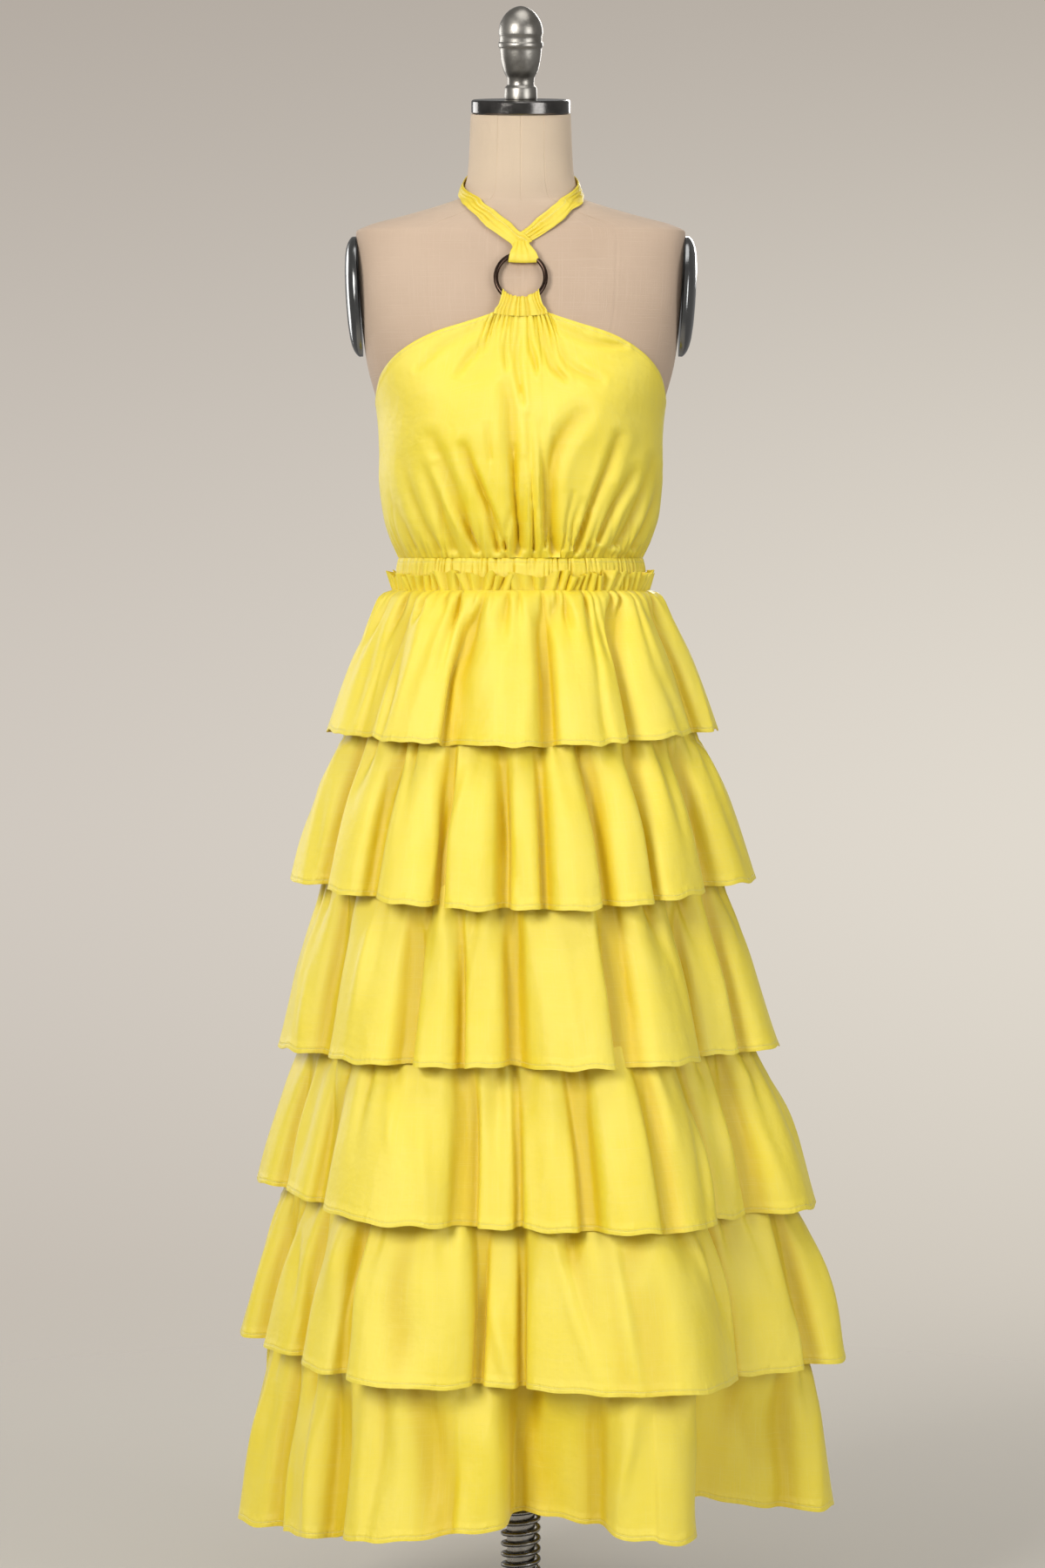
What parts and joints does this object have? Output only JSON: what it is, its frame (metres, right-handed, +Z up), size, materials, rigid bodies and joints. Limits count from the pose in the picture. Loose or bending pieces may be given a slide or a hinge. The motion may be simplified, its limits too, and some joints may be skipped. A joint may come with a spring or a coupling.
{
  "type": "tiered halter dress on a limbless dress form",
  "caption": "Halter-neck maxi dress with gathered ruffle tiers and a ring at the breastbone, worn by a limbless dress form on a round-based stand.",
  "frame": {"origin": "centre of the stand base's underside, under the pole", "axes": "+Z up the pole, -Y the dress's front, +X the wearer's left"},
  "size_m": [0.6866, 0.5595, 1.85],
  "materials": {
    "dress_cloth": "plain-woven yellow cotton blend with a faint sheen",
    "form_cloth": "tight beige linen cover with stitched seams",
    "ring_metal": "glossy dark bronze",
    "bright_metal": "polished pewter grey",
    "dark_metal": "dark polished steel",
    "painted_iron": "satin black paint"
  },
  "bodies": {
    "root": {"tier_1": "dress_cloth", "tier_2": "dress_cloth", "tier_3": "dress_cloth", "tier_4": "dress_cloth", "tier_5": "dress_cloth", "tier_6": "dress_cloth", "underskirt": "dress_cloth", "waist_casing": "dress_cloth", "waist_frill": "dress_cloth", "bodice_front": "dress_cloth", "bodice_back": "dress_cloth", "bodice_ring_sleeve": "dress_cloth", "strap_ring_sleeve": "dress_cloth", "strap_left": "dress_cloth", "strap_right": "dress_cloth", "ring": "ring_metal", "form_torso": "form_cloth", "neck_cap": "bright_metal", "finial": "bright_metal", "armhole_plate_left": "dark_metal", "armhole_plate_right": "dark_metal", "pole": "bright_metal", "buffer_spring": "bright_metal", "spring_collar": "bright_metal", "stand_base": "painted_iron"}
  },
  "joints": []
}
